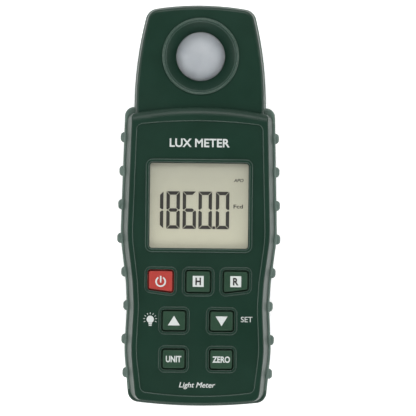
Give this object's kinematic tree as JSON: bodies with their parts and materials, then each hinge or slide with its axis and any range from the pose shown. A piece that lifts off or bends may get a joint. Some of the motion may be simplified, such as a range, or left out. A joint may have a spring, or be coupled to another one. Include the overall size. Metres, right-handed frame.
{
  "type": "light meter",
  "caption": "Handheld light meter with a domed sensor head, numeric display, press keys and a sliding battery door on the back.",
  "frame": {"origin": "on the table under the middle of the meter, which lies on its back", "axes": "+Z out of the front face, +Y towards the sensor head, +X to the right of someone reading the display"},
  "size_m": [0.0768, 0.1881, 0.0387],
  "materials": {
    "case_plastic": "fine matte grain",
    "grip_rubber": "soft matte",
    "frosted_plastic": "frosted translucent",
    "dark_plastic": "matte",
    "optical_glass": "polished",
    "clear_window": "clear and glossy",
    "light_guide": "clear",
    "circuit_board": "solder resist",
    "silicone_grey": "matte",
    "steel": "bright",
    "battery_sleeve": "satin",
    "brass": "machined",
    "copper_lead": "tinned copper",
    "component_black": "moulded",
    "label_foil": "satin foil",
    "key_green": "matte",
    "key_red": "matte"
  },
  "bodies": {
    "case": {"back_label": "label_foil", "backlight": "light_guide", "battery": "battery_sleeve", "battery_leads": "copper_lead", "board_screws": "steel", "buzzer": "component_black", "capacitors": "component_black", "case_screws": "steel", "contact_block": "dark_plastic", "contact_strips": "silicone_grey", "converter_chip": "component_black", "crystal_can": "steel", "diffuser_dome": "frosted_plastic", "display_glass": "optical_glass", "display_holder": "dark_plastic", "display_window": "clear_window", "dome_bezel": "case_plastic", "front_case": "case_plastic", "grip_left": "grip_rubber", "grip_right": "grip_rubber", "head_cover": "case_plastic", "light_filter": "optical_glass", "main_board": "circuit_board", "photodiode": "steel", "processor_chip": "component_black", "range_relay": "component_black", "rear_case": "case_plastic", "sensor_board": "circuit_board", "sensor_cup": "dark_plastic", "sensor_ribbon": "copper_lead", "snap_domes": "steel", "spacer_sheet": "silicone_grey", "tripod_insert": "brass"},
    "key_power": {"key_power": "key_red"},
    "key_hold": {"key_hold": "key_green"},
    "key_range": {"key_range": "key_green"},
    "key_up": {"key_up": "key_green"},
    "key_down": {"key_down": "key_green"},
    "key_unit": {"key_unit": "key_green"},
    "key_zero": {"key_zero": "key_green"},
    "battery_door": {"battery_door": "case_plastic"}
  },
  "joints": [
    {"name": "power_press", "type": "slide", "parent": "case", "child": "key_power", "axis": [0, 0, -1], "range_m": [0, 0.001], "stiffness_N_per_m": 1200},
    {"name": "hold_press", "type": "slide", "parent": "case", "child": "key_hold", "axis": [0, 0, -1], "range_m": [0, 0.001], "stiffness_N_per_m": 1200},
    {"name": "range_press", "type": "slide", "parent": "case", "child": "key_range", "axis": [0, 0, -1], "range_m": [0, 0.001], "stiffness_N_per_m": 1200},
    {"name": "up_press", "type": "slide", "parent": "case", "child": "key_up", "axis": [0, 0, -1], "range_m": [0, 0.001], "stiffness_N_per_m": 1200},
    {"name": "down_press", "type": "slide", "parent": "case", "child": "key_down", "axis": [0, 0, -1], "range_m": [0, 0.001], "stiffness_N_per_m": 1200},
    {"name": "unit_press", "type": "slide", "parent": "case", "child": "key_unit", "axis": [0, 0, -1], "range_m": [0, 0.001], "stiffness_N_per_m": 1200},
    {"name": "zero_press", "type": "slide", "parent": "case", "child": "key_zero", "axis": [0, 0, -1], "range_m": [0, 0.001], "stiffness_N_per_m": 1200},
    {"name": "door_slide", "type": "slide", "parent": "case", "child": "battery_door", "axis": [0, -1, 0], "range_m": [0, 0.052]}
  ]
}
